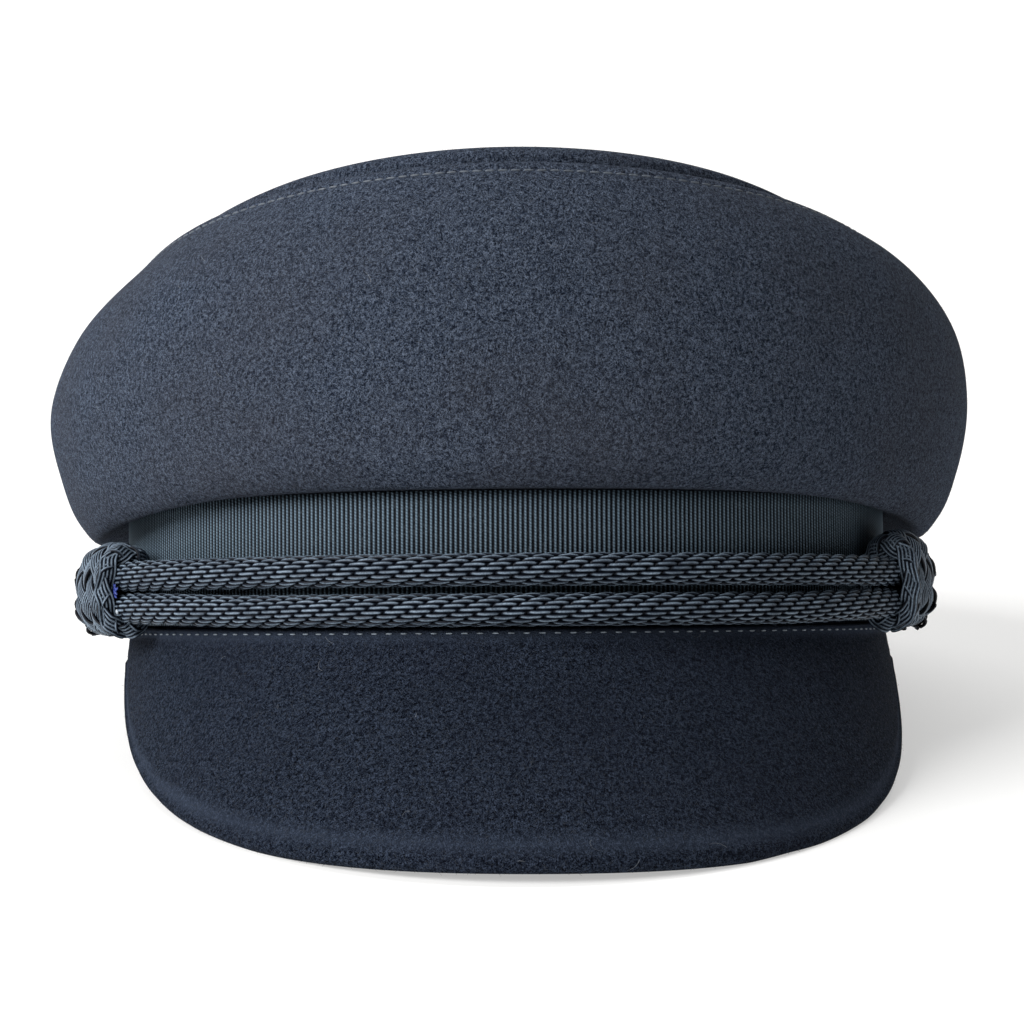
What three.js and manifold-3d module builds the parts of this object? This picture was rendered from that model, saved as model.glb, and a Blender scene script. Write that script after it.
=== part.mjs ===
// A wool sailor cap: a full, soft crown that is high in front and low behind, a ribbed ribbon round a stiff
// head band, a drooping peak, and two twisted cords across the front that end in two woven knots.
//
// The cap is drawn level, with the head band's lower edge in the plane z = 0, the front towards -Y and +X to
// the wearer's left. The last lines lean it back, as it stands on a table on its peak and the back of its
// band. Sizes are millimetres.
import * as THREE from "three";
import Module from "manifold-3d";

const wasm = await Module();
wasm.setup();

// Driving dimensions
const HEAD_HALF_WIDTH = 82; // inside the head band: a head of about 57 cm
const HEAD_HALF_LENGTH = 98;
const BAND_CLOTH = 2;
const BAND_HEIGHT = 27.5;
const RIBBON_CLOTH = 0.8;
const RIBBON_BOTTOM = 2; // the ribbon is one inch wide, and its lower edge lies on the peak's root
const CROWN_CLOTH = 2;
const GAP = 0.3; // between pieces that touch
const PEAK_LENGTH = 57; // down the slope at the middle
const PEAK_DROOP = 48; // degrees below the plane of the band
const PEAK_HALF_SPAN = 78; // degrees round the band from the middle of the front
const PEAK_END = 13; // length of the peak's sides where they end
const PEAK_SKEW = 0.017; // share by which its right side is longer than the middle
const PEAK_FULLNESS = 3.45; // how far its length holds towards the sides before it falls off
const PEAK_THICK = 3.2;
const PEAK_BEAD = 0.5; // how much the turned edge stands out on each face
const CORD_DIAMETER = 6.3;
const CORD_PLIES = 7;
const CORD_LAY = 32; // length of cord in which a ply goes once round
const CORD_LEVEL = 8.5; // the middle between the two runs of cord, over the band's lower edge
const CORD_RISE = 0.4; // how much higher that middle is in the knots
const CORD_SPREAD = 0.5; // how much further each run lies from that middle in front, where no knot holds it
const CORD_LOBE = 0.22; // how much the plies stand out of the cord's round, and sink between
const CORD_BEND = 4.3; // radius of the turn behind each knot
const CORD_BEND_AT = 12; // degrees behind the middle of the knot
const KNOT_LEADS = 3;
const KNOT_BIGHTS = 5;
const KNOT_STRAND = 3.5; // width of its strand
const KNOT_WAVE = 0.7; // share of the knot's half length to which the strand swings
const KNOT_TAPER = 0.05; // how much narrower its outer end is than its middle, and its mouth wider
const KNOT_LIFT = 0.35; // how much the strand rises over itself, and sinks where it goes under
// A knot's place is in degrees round the band and over its lower edge; its length lies along the cords, and
// its depth out from the ribbon.
const KNOTS = [
  { name: "knot_left", side: -1, angle: 65.6, level: 9.6, length: 21.5, height: 19.8, depth: 14 },
  { name: "knot_right", side: 1, angle: 62.6, level: 10.7, length: 20.5, height: 20.8, depth: 12.4 },
];
const REST_LEAN = 10.55; // degrees that the cap leans back on the table
const REST_LIFT = 17.8; // height of the band's centre over the table
const REST_SIDE = -1.15; // place of the band's centre, so that the whole cap is centred on the origin
const REST_BACK = 7.8;
const AROUND = 44; // facets round the head

const RIBBON_OUT = BAND_CLOTH + GAP + RIBBON_CLOTH; // ribbon's outer face, out from the inside of the band
const radians = THREE.MathUtils.degToRad;

// The crown's wall, outside, from the seam on the band up to the seam at the top. A row is one ring round
// the head: how far it lies to the left, to the right, in front of and behind the middle, its height, how
// much higher the front is than that (and the back lower), and how far its sides hang down. The right side
// is a little fuller.
const WALL = [
  { name: "band seam", left: 82.4, right: 82.4, front: 98.4, back: 98.4, height: 27.8, rise: 0, drop: 0 },
  { name: "tight", left: 85.4, right: 85.4, front: 101.5, back: 101.5, height: 27.8, rise: 0, drop: 0.2 },
  { name: "tuck", left: 87.4, right: 87.6, front: 103.8, back: 105, height: 27.6, rise: 0.2, drop: 3 },
  { name: "under", left: 91.7, right: 93.3, front: 106, back: 109.5, height: 28.7, rise: 0.5, drop: 8.6 },
  { name: "low", left: 96.2, right: 98, front: 108.5, back: 115, height: 32, rise: 1, drop: 7.5 },
  { name: "belly", left: 100, right: 102, front: 110, back: 120, height: 40, rise: 3, drop: 6 },
  { name: "widest", left: 102.1, right: 104.4, front: 110, back: 122, height: 52, rise: 6, drop: 4 },
  { name: "upper", left: 97, right: 102.4, front: 107.5, back: 120, height: 63, rise: 11, drop: 2 },
  { name: "shoulder", left: 87, right: 94, front: 102, back: 113, height: 71, rise: 15, drop: 0 },
  { name: "break", left: 83.4, right: 88, front: 99.2, back: 108.5, height: 73.6, rise: 16, drop: 0 },
  { name: "top seam", left: 76.5, right: 78, front: 95.5, back: 103, height: 74.6, rise: 16.4, drop: 0 },
];
// The crown's top, outside, from its seam up over the rolled rim and in to the middle.
const TOP = [
  { name: "rim", left: 76.4, right: 77.9, front: 95.4, back: 102.9, height: 75, rise: 16.4, drop: 0 },
  { name: "roll", left: 76.3, right: 77.8, front: 95.6, back: 103.1, height: 76.8, rise: 16.4, drop: 0 },
  { name: "crest", left: 74, right: 75.5, front: 93.8, back: 101, height: 78.3, rise: 16.2, drop: 0 },
  { name: "slope", left: 64, right: 66, front: 80, back: 87, height: 79.1, rise: 13.8, drop: 0 },
  { name: "middle", left: 36, right: 38, front: 46, back: 50, height: 79.8, rise: 7.9, drop: 0 },
  { name: "centre", left: 0, right: 0, front: 0, back: 0, height: 80, rise: 0, drop: 0 },
];

// A point of a ring at an angle from the front, in by so many millimetres.
function ringPoint(ring, angle, inward = 0, lower = 0) {
  const c = Math.cos(angle);
  const s = Math.sin(angle);
  const width = s > 0 ? ring.right : ring.left;
  const length = c > 0 ? ring.front : ring.back;
  return new THREE.Vector3(
    Math.max(width - inward, 0) * s,
    -Math.max(length - inward, 0) * c,
    ring.height + ring.rise * c - ring.drop * s ** 4 - lower,
  );
}

// A closed solid from triangles: vertices are shared, triangles without area are left out, and faces point
// outwards.
function solidOf(triangles) {
  const index = new Map();
  const places = [];
  const faces = [];
  const number = (p) => {
    const key = [p.x, p.y, p.z].map((v) => Math.round(v * 1e3)).join(",");
    if (!index.has(key)) {
      index.set(key, places.length / 3);
      places.push(p.x, p.y, p.z);
    }
    return index.get(key);
  };
  let volume = 0;
  for (const corners of triangles) {
    const [a, b, c] = corners.map(number);
    if (a === b || b === c || c === a) continue;
    faces.push([a, b, c]);
    volume += corners[0].dot(corners[1].clone().cross(corners[2]));
  }
  if (volume < 0) faces.forEach((face) => face.reverse());
  const geometry = new THREE.BufferGeometry();
  geometry.setAttribute("position", new THREE.Float32BufferAttribute(places, 3));
  geometry.setIndex(faces.flat());
  return geometry;
}

// Joins each section, a closed outline of points, to the next one. A loop's last section joins its first, and
// otherwise the two ends are closed.
function sweep(sections, isLoop) {
  const triangles = [];
  const count = sections.length;
  for (let i = 0; i < (isLoop ? count : count - 1); i++) {
    const here = sections[i];
    const next = sections[(i + 1) % count];
    here.forEach((point, j) => {
      const k = (j + 1) % here.length;
      triangles.push([point, next[j], next[k]], [point, next[k], here[k]]);
    });
  }
  if (!isLoop) {
    for (const [outline, isLast] of [[sections[0], false], [sections[count - 1], true]]) {
      const middle = outline.reduce((sum, p) => sum.add(p), new THREE.Vector3()).divideScalar(outline.length);
      outline.forEach((point, j) => {
        const face = [middle, point, outline[(j + 1) % outline.length]];
        triangles.push(isLast ? face.reverse() : face);
      });
    }
  }
  return solidOf(triangles);
}

// How far each point of a profile moves to lie one cloth's thickness inside it: in, towards the head's axis,
// and down.
function offsets(rows, angle, cloth) {
  const flat = rows.map((row) => {
    const width = Math.sin(angle) > 0 ? row.right : row.left;
    const length = Math.cos(angle) > 0 ? row.front : row.back;
    return new THREE.Vector2((width + length) / 2, ringPoint(row, angle).z);
  });
  return flat.map((p, i) => {
    const before = flat[Math.max(i - 1, 0)];
    const after = flat[Math.min(i + 1, flat.length - 1)];
    const along = after.clone().sub(before).normalize();
    return { inward: along.y * cloth, lower: -along.x * cloth };
  });
}

const wallAngles = Array.from({ length: AROUND }, (_, i) => (2 * Math.PI * i) / AROUND);

// A wall of cloth round the head, from a table of rings.
function clothRing(rows, cloth) {
  const sections = wallAngles.map((angle) => {
    const inner = offsets(rows, angle, cloth);
    const outside = rows.map((row) => ringPoint(row, angle));
    const inside = rows.map((row, i) => ringPoint(row, angle, inner[i].inward, inner[i].lower));
    return [...outside, ...inside.reverse()];
  });
  return sweep(sections, true);
}

// A cylindrical band round the head between two distances out from the inside of the head band.
function bandRing(from, to, bottom, top) {
  const corners = [[from, bottom], [to, bottom], [to, top], [from, top]];
  const sections = wallAngles.map((angle) =>
    corners.map(([out, height]) => onBand(angle, out, height)));
  return sweep(sections, true);
}

// A point so far out from the inside of the head band, at an angle from the front and a height.
function onBand(angle, out, height) {
  return new THREE.Vector3(
    (HEAD_HALF_WIDTH + out) * Math.sin(angle),
    -(HEAD_HALF_LENGTH + out) * Math.cos(angle),
    height,
  );
}

// The directions at a place on the band: along it, away from the head, and up.
function axesAt(angle) {
  const along = new THREE.Vector3(
    (HEAD_HALF_WIDTH + RIBBON_OUT) * Math.cos(angle),
    (HEAD_HALF_LENGTH + RIBBON_OUT) * Math.sin(angle),
    0,
  ).normalize();
  const up = new THREE.Vector3(0, 0, 1);
  return { along, out: along.clone().cross(up), up };
}

// The peak is a bent sheet: straight lines run forward and down from its root on the band, all at one slope.
function peakReach(angle) {
  const share = Math.abs(angle) / radians(PEAK_HALF_SPAN);
  const reach = PEAK_END + (PEAK_LENGTH - PEAK_END) * Math.max(0, 1 - share ** PEAK_FULLNESS) ** 0.66;
  return reach * (1 + PEAK_SKEW * Math.sin(angle));
}

function peak(raised = 0) {
  const slope = radians(PEAK_DROOP);
  const root = BAND_CLOTH + GAP;
  const rootTop = RIBBON_BOTTOM - GAP;
  const steps = 28;
  const down = [0, 0.33, 0.67, 1];
  const line = new THREE.Vector3(0, -Math.cos(slope), -Math.sin(slope));
  const sections = [];
  for (let i = 0; i <= steps; i++) {
    const angle = radians(PEAK_HALF_SPAN) * (2 * i / steps - 1);
    const reach = peakReach(angle);
    const inward = axesAt(angle).along.cross(line).normalize();
    // A point of the peak: so far down the slope from the outside of the ribbon, and so deep under its top
    // face.
    const at = (run, depth) =>
      onBand(angle, RIBBON_OUT, rootTop).addScaledVector(line, run).addScaledVector(inward, depth);
    const last = reach - PEAK_THICK / 2;
    // The underside begins below the band's lower edge, and a thin lip goes up between the band and the
    // ribbon.
    const heel = Math.max(0, (rootTop + GAP + inward.z * PEAK_THICK) / Math.sin(slope));
    const top = down.map((share) => at(last * share, -raised));
    const under = down.map((share) => at(heel + (last - heel) * share, PEAK_THICK)).reverse();
    top.pop();
    under.shift();
    const turned = [
      at(last - 1.2, -raised),
      at(last - 0.4, -raised - PEAK_BEAD),
      at(reach - 0.5, 0),
      at(reach, PEAK_THICK / 2),
      at(reach - 0.5, PEAK_THICK),
      at(last - 0.4, PEAK_THICK + PEAK_BEAD),
      at(last - 1.2, PEAK_THICK),
    ];
    sections.push([...top, ...turned, ...under, onBand(angle, root, -GAP), onBand(angle, root, rootTop)]);
  }
  return sweep(sections, false);
}

// Where one run of the cord lies: on the ribbon in front, and held off it by the knots' walls near its ends.
// The run is 1 for the upper and -1 for the lower one, and values between lie in the turn behind a knot.
function cordPoint(angle, run, half) {
  const held = angle < 0 ? KNOTS[0] : KNOTS[1];
  const near = THREE.MathUtils.smoothstep(Math.abs(angle), radians(34), radians(held.angle - 6));
  const out = RIBBON_OUT + GAP + CORD_DIAMETER / 2 + near * (held.depth - CORD_DIAMETER) / 2;
  const level = CORD_LEVEL + near * CORD_RISE;
  const spread = half ?? CORD_DIAMETER / 2 + GAP / 2 + CORD_SPREAD * (1 - near);
  return onBand(angle, out, level + run * spread);
}

// The whole cord: a closed loop that goes across the front twice and turns behind the knots.
function cordLine() {
  const points = [];
  const runSteps = 30;
  for (const run of [1, -1]) {
    const [from, to] = run > 0 ? KNOTS : [KNOTS[1], KNOTS[0]];
    const start = from.side * radians(from.angle + 6);
    const end = to.side * radians(to.angle + 6);
    for (let i = 0; i <= runSteps; i++) {
      points.push(cordPoint(start + ((end - start) * i) / runSteps, run));
    }
    for (const turn of [75, 30, 0, -30, -75]) {
      const bend = (CORD_BEND * Math.cos(radians(turn))) / HEAD_HALF_LENGTH;
      const reach = radians(to.angle + CORD_BEND_AT) + bend;
      points.push(cordPoint(to.side * reach, run * Math.sin(radians(turn)), CORD_BEND));
    }
  }
  return new THREE.CatmullRomCurve3(points, true, "centripetal");
}

// A twisted cord: its plies show as lobes that wind round it. Without lobes it is plain round.
function cord(extra = 0, lobe = CORD_LOBE, steps = 126) {
  const line = cordLine();
  const turns = lobe > 0 ? Math.round(line.getLength() / CORD_LAY) : 0;
  const around = 2 * CORD_PLIES;
  const sections = [];
  for (let i = 0; i < steps; i++) {
    const t = i / steps;
    const middle = line.getPointAt(t);
    const along = line.getTangentAt(t);
    const away = new THREE.Vector3(middle.x / HEAD_HALF_WIDTH ** 2, middle.y / HEAD_HALF_LENGTH ** 2, 0);
    const out = away.addScaledVector(along, -away.dot(along)).normalize();
    const rise = out.clone().cross(along);
    sections.push(Array.from({ length: around }, (_, j) => {
      const angle = 2 * Math.PI * (j / around + turns * t);
      const radius = CORD_DIAMETER / 2 + extra - (j % 2) * 2 * lobe;
      return middle.clone()
        .addScaledVector(out, radius * Math.cos(angle))
        .addScaledVector(rise, radius * Math.sin(angle));
    }));
  }
  return sweep(sections, true);
}

// Exact joining and cutting of solids
function toManifold(geometry) {
  return new wasm.Manifold(new wasm.Mesh({
    numProp: 3,
    vertProperties: new Float32Array(geometry.getAttribute("position").array),
    triVerts: new Uint32Array(geometry.index.array),
  }));
}

function fromManifold(solid) {
  const mesh = solid.getMesh();
  const geometry = new THREE.BufferGeometry();
  geometry.setAttribute("position", new THREE.BufferAttribute(mesh.vertProperties, 3));
  geometry.setIndex(new THREE.BufferAttribute(mesh.triVerts, 1));
  return geometry;
}

// The table's top as a block in the level cap's own directions, to flatten what rests on it.
function tableBlock() {
  const thick = 60;
  const block = new THREE.BoxGeometry(400, 500, thick);
  block.deleteAttribute("normal");
  block.deleteAttribute("uv");
  block.translate(0, 0, -thick / 2 - REST_LIFT);
  block.rotateX(radians(REST_LEAN));
  const corners = [];
  const source = block.getAttribute("position");
  const corner = (number) => new THREE.Vector3().fromBufferAttribute(source, block.index.getX(number));
  for (let i = 0; i < block.index.count; i += 3) corners.push([corner(i), corner(i + 1), corner(i + 2)]);
  return toManifold(solidOf(corners));
}

// A point on the knot's barrel: round it by an angle, along it by a share of its half length, raised by some
// height.
function onKnot(knot, angle, share, raised) {
  const place = knot.side * radians(knot.angle);
  const { along, out, up } = axesAt(place);
  const swell = 1 - 0.28 * Math.abs(share) ** 3.2 - KNOT_TAPER * share;
  const c = Math.cos(angle);
  const s = Math.sin(angle);
  const squareness = 0.94 * (c ** 4 + s ** 4) ** 0.1 + 0.06; // a rounded oblong more than an oval
  const depth = ((knot.depth / 2 - 1) * swell + raised) / squareness;
  const height = ((knot.height / 2 - 1) * swell + raised) / squareness;
  return onBand(place, RIBBON_OUT, knot.level)
    .addScaledVector(out, GAP + knot.depth / 2 + depth * c)
    .addScaledVector(along, (knot.side * share * knot.length) / 2)
    .addScaledVector(up, height * s);
}

// A woven knot: one strand goes round a barrel as a Turk's head, over and under itself.
function knotSolid(knot) {
  const aroundBarrel = Array.from({ length: 12 }, (_, j) => (Math.PI * j) / 6);
  const barrel = [-0.8, -0.3, 0.3, 0.8].map((share) =>
    aroundBarrel.map((angle) => onKnot(knot, angle, share, -0.5)));
  // The strand's section: a share of its width, and millimetres up
  const outline = [[-0.5, -1.1], [-0.3, 0.55], [0.3, 0.55], [0.5, -1.1]];
  const pieces = 2 * KNOT_BIGHTS;
  const steps = 4;
  const overlap = 1.04; // a piece runs a little into the next one
  const swing = (turn) => KNOT_WAVE * Math.cos((KNOT_BIGHTS * turn) / KNOT_LEADS);
  let woven = toManifold(sweep(barrel, false));
  for (let piece = 0; piece < pieces; piece++) {
    const sections = [];
    for (let i = 0; i <= steps; i++) {
      const turn = (2 * Math.PI * KNOT_LEADS * (piece + (i / steps) * overlap)) / pieces;
      const place = (angle, raised) => onKnot(knot, angle, swing(angle), raised);
      const lift = KNOT_LIFT * Math.sin((2 * KNOT_BIGHTS * turn) / KNOT_LEADS);
      const here = place(turn, lift);
      const along = place(turn + 0.01, lift).sub(place(turn - 0.01, lift)).normalize();
      const outward = place(turn, lift + 1).sub(here);
      outward.addScaledVector(along, -outward.dot(along)).normalize();
      const across = along.clone().cross(outward);
      sections.push(outline.map(([a, b]) =>
        here.clone().addScaledVector(across, a * KNOT_STRAND).addScaledVector(outward, b)));
    }
    woven = woven.add(toManifold(sweep(sections, false)));
  }
  // The cord goes through it, and nothing of it reaches into the ribbon or the peak's root.
  const taken = [cord(GAP + 0.15, 0, 84), bandRing(-10, RIBBON_OUT + GAP, -20, BAND_HEIGHT), peak(GAP)];
  for (const solid of taken) woven = woven.subtract(toManifold(solid));
  // Splinters at the mouths are dropped.
  return woven.decompose().sort((a, b) => b.volume() - a.volume())[0];
}

// Materials
const wool = new THREE.MeshStandardMaterial({ color: 0x1d2433, roughness: 0.95, metalness: 0 });
const grosgrain = new THREE.MeshStandardMaterial({ color: 0x26323f, roughness: 0.7, metalness: 0 });
const braid = new THREE.MeshStandardMaterial({ color: 0x1c2838, roughness: 0.4, metalness: 0 });

const cap = new THREE.Group();

function addPiece(name, geometry, material) {
  const mesh = new THREE.Mesh(geometry, material);
  mesh.name = name;
  cap.add(mesh);
}

const table = tableBlock();
const bandSolid = toManifold(bandRing(0, BAND_CLOTH, 0, BAND_HEIGHT));
const peakSolid = toManifold(peak());

addPiece("crown_wall", clothRing(WALL, CROWN_CLOTH), wool);
addPiece("crown_top", clothRing(TOP, CROWN_CLOTH), wool);
addPiece("head_band", fromManifold(bandSolid.subtract(table)), wool);
addPiece("ribbon", bandRing(BAND_CLOTH + GAP, RIBBON_OUT, RIBBON_BOTTOM, BAND_HEIGHT), grosgrain);
addPiece("peak", fromManifold(peakSolid.subtract(table)), wool);
addPiece("cord", cord(), braid);
for (const knot of KNOTS) addPiece(knot.name, fromManifold(knotSolid(knot)), braid);

// The cap leans back on its peak, with the middle of its outline over the origin.
cap.rotation.x = -radians(REST_LEAN);
cap.position.set(REST_SIDE, REST_BACK, REST_LIFT);

export default cap;
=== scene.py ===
# %% [markdown]
# # A sailor cap in felted wool
# The cap has a full crown, a stiff head band with a ribbed ribbon, a peak that droops in front, and a rope that
# runs across the front twice and ends in two woven knots. The CAD model gives every size and place. This lesson
# replaces its plain solids with cloth, yarn and stitches, and then sets up a small studio.

# %% Load the frame
import math

import bpy
import numpy as np
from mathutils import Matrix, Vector


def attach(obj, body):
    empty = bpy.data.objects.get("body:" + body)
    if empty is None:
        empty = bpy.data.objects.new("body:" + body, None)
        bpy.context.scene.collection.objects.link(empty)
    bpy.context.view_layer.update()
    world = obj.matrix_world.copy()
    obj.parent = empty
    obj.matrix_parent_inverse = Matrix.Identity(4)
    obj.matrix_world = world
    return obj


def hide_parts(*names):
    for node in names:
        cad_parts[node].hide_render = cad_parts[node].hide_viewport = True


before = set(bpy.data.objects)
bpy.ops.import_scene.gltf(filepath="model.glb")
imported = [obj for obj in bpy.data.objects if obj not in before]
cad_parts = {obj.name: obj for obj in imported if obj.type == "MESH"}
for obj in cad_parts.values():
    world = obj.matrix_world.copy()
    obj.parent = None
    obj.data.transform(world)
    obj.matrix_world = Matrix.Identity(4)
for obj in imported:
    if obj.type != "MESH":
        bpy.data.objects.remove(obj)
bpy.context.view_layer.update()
scene = bpy.context.scene

# %% [markdown]
# ## The cap's own directions
# A cap is easiest to draw level, in millimetres, with the head band's lower edge at height 0 and the front towards
# -Y. On the table it leans back on its peak, so each finished point is turned by that lean and moved to its place.

# %% Level cap and table
MM = 0.001
LEAN = math.radians(10.55)
BAND_CENTRE = np.array([-1.15, 7.8, 17.8])
HEAD_HALF_WIDTH, HEAD_HALF_LENGTH = 82.0, 98.0  # inside the head band
BAND_CLOTH, BAND_HEIGHT = 2.0, 27.5
GAP = 0.3
TABLE_GAP = 0.02  # cloth on the table keeps this far above it
RIBBON_CLOTH, RIBBON_BOTTOM = 0.8, 2.0
RIBBON_OUT = BAND_CLOTH + GAP + RIBBON_CLOTH
LEAN_TURN = np.array([
    [1, 0, 0],
    [0, math.cos(LEAN), math.sin(LEAN)],
    [0, -math.sin(LEAN), math.cos(LEAN)],
])


def on_table(points):
    """Millimetres of the level cap to metres of the frame."""
    return (np.asarray(points) @ LEAN_TURN.T + BAND_CENTRE) * MM


def on_band(angle, out, height):
    """A point so far out from the inside of the head band, at an angle from the front and a height."""
    return np.stack([
        (HEAD_HALF_WIDTH + out) * np.sin(angle),
        -(HEAD_HALF_LENGTH + out) * np.cos(angle),
        height + 0 * angle,
    ], axis=-1)


def unit(vectors):
    return vectors / np.linalg.norm(vectors, axis=-1, keepdims=True)


def square_to(along, vectors):
    """The vectors, turned to stand square to along and one unit long."""
    return unit(vectors - along * np.sum(vectors * along, axis=1, keepdims=True))


def band_axes(angle):
    """The directions along the band, away from the head, and up."""
    along = unit(np.stack([
        (HEAD_HALF_WIDTH + RIBBON_OUT) * np.cos(angle),
        (HEAD_HALF_LENGTH + RIBBON_OUT) * np.sin(angle),
        0 * angle,
    ], axis=-1))
    up = np.zeros_like(along)
    up[..., 2] = 1
    return along, np.cross(along, up), up


def smooth(x, low, high):
    """0 below low, 1 above high, and a smooth step between."""
    t = np.clip((np.asarray(x, float) - low) / (high - low), 0, 1)
    return t * t * (3 - 2 * t)


# %% [markdown]
# ## From a flat grid to cloth
# Real cloth starts flat. Blender's grid primitive does too, so each cloth piece here is a grid that is bent to its
# shape: every vertex is moved to where a function of its place on the flat grid says. The grid's own UV map is
# stretched to the cloth's real size in metres, so that weave and fibres get one scale on every piece.

# %% Bending a grid
def deselect():
    if bpy.context.object and bpy.context.object.mode != "OBJECT":
        bpy.ops.object.mode_set(mode="OBJECT")
    bpy.ops.object.select_all(action="DESELECT")


def vertex_places(mesh):
    places = np.empty(len(mesh.vertices) * 3)
    mesh.vertices.foreach_get("co", places)
    return places.reshape(-1, 3)


def bend_grid(name, across, along, shape, size, painted_light=None):
    """A grid bent by shape(u, v), where u runs along it and v across it, both from 0 to 1. size is in millimetres.
    The last function, of u and v, gives each point its share of painted light, mostly from 0 to 1, for the material
    to read."""
    deselect()
    bpy.ops.mesh.primitive_grid_add(x_subdivisions=along, y_subdivisions=across, size=1)
    piece = bpy.context.object
    piece.name = piece.data.name = name
    mesh = piece.data
    u, v = (vertex_places(mesh)[:, :2] + 0.5).T
    mesh.vertices.foreach_set("co", on_table(shape(u, v)).ravel())
    if painted_light:
        mesh.attributes.new("painted_light", "FLOAT", "POINT").data.foreach_set("value", painted_light(u, v))
    uv = np.empty(len(mesh.loops) * 2)
    mesh.uv_layers.active.uv.foreach_get("vector", uv)
    uv = uv.reshape(-1, 2) * np.array(size) * MM
    mesh.uv_layers.active.uv.foreach_set("vector", uv.ravel())
    # Edges that meet, such as the two ends of a ring, are merged.
    bpy.ops.object.mode_set(mode="EDIT")
    bpy.ops.mesh.select_all(action="SELECT")
    bpy.ops.mesh.remove_doubles(threshold=1e-6)
    bpy.ops.object.mode_set(mode="OBJECT")
    bpy.ops.object.shade_smooth()
    return piece


def thicken(piece, millimetres):
    """Gives a sheet of cloth its thickness and keeps the sheet as its outside."""
    wall = piece.modifiers.new("cloth", "SOLIDIFY")
    wall.thickness = millimetres * MM
    wall.offset = -1
    bpy.context.view_layer.objects.active = piece
    bpy.ops.object.modifier_apply(modifier=wall.name)


def press_on_table(piece):
    """Flattens cloth that would reach below the table."""
    for vertex in piece.data.vertices:
        vertex.co.z = max(vertex.co.z, TABLE_GAP * MM)


def face_outwards(piece, fill=False):
    """Turns all faces outwards, and first fills the open ends where asked."""
    deselect()
    piece.select_set(True)
    bpy.context.view_layer.objects.active = piece
    bpy.ops.object.mode_set(mode="EDIT")
    bpy.ops.mesh.select_all(action="SELECT")
    if fill:
        bpy.ops.mesh.fill_holes(sides=0)
        bpy.ops.mesh.select_all(action="SELECT")
    bpy.ops.mesh.normals_make_consistent(inside=False)
    bpy.ops.object.mode_set(mode="OBJECT")


def finish_piece(piece, material, slot, *nodes):
    """Gives a piece its finish, its body and the CAD nodes that it stands for."""
    piece.data.materials.clear()
    piece.data.materials.append(material)
    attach(piece, "root")
    if nodes:
        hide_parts(*nodes)
    print(piece.name, len(piece.data.polygons), "faces")
    return piece


# %% [markdown]
# ## The finishes
# Felted wool is a mat of fine, curly fibres that lie every way, so its colour is mottled and paler fibres cross it.
# A noise passes through its middle value along thin winding lines, and those lines make good curly fibres. They
# give both colour and bump, and a little sheen lends the soft light that a nap has.

# %% Node helpers
def new_material(name):
    material = bpy.data.materials.new(name)
    material.use_nodes = True
    tree = material.node_tree
    return material, tree, tree.nodes["Principled BSDF"]


def add(tree, kind, **values):
    """A node with its properties and its sockets set, by name or number."""
    node = tree.nodes.new(kind)
    for key, value in values.items():
        if hasattr(node, key):
            setattr(node, key, value)
        else:
            node.inputs[key.replace("_", " ")].default_value = value
    return node


def math_node(tree, operation, a, b=None, clamp=False):
    node = tree.nodes.new("ShaderNodeMath")
    node.operation = operation
    node.use_clamp = clamp
    for socket, value in zip(node.inputs, (a, b)):
        if value is None:
            continue
        if isinstance(value, (int, float)):
            socket.default_value = value
        else:
            tree.links.new(value, socket)
    return node.outputs[0]


def times(tree, a, b):
    return math_node(tree, "MULTIPLY", a, b)


def mix_colour(tree, factor, a, b):
    node = tree.nodes.new("ShaderNodeMix")
    node.data_type = "RGBA"
    for socket, value in zip((node.inputs[0], node.inputs[6], node.inputs[7]), (factor, a, b)):
        if hasattr(value, "links"):
            tree.links.new(value, socket)
        elif isinstance(value, (int, float)):
            socket.default_value = value
        else:
            socket.default_value = (*value, 1)
    return node.outputs[2]


def ramp(tree, value, low, high):
    """Stretches the stretch from low to high of a value to 0 to 1."""
    node = tree.nodes.new("ShaderNodeMapRange")
    node.inputs["From Min"].default_value = low
    node.inputs["From Max"].default_value = high
    tree.links.new(value, node.inputs["Value"])
    return node.outputs["Result"]


def noise(tree, vector, scale, detail=2.0, roughness=0.5):
    node = add(tree, "ShaderNodeTexNoise", Scale=scale, Detail=detail, Roughness=roughness)
    tree.links.new(vector, node.inputs["Vector"])
    return node.outputs["Fac"]


# %% Felted wool
def strands(tree, vector, scale, width, detail=1.5):
    """Thin curly lines: where a noise passes through its middle value."""
    value = math_node(tree, "SUBTRACT", noise(tree, vector, scale, detail, 0.55), 0.5)
    away = math_node(tree, "DIVIDE", math_node(tree, "ABSOLUTE", value), width)
    return math_node(tree, "SUBTRACT", 1.0, away, clamp=True)


def shifted(tree, vector, by):
    node = tree.nodes.new("ShaderNodeMapping")
    node.inputs["Location"].default_value = by
    tree.links.new(vector, node.inputs["Vector"])
    return node.outputs["Vector"]


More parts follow.
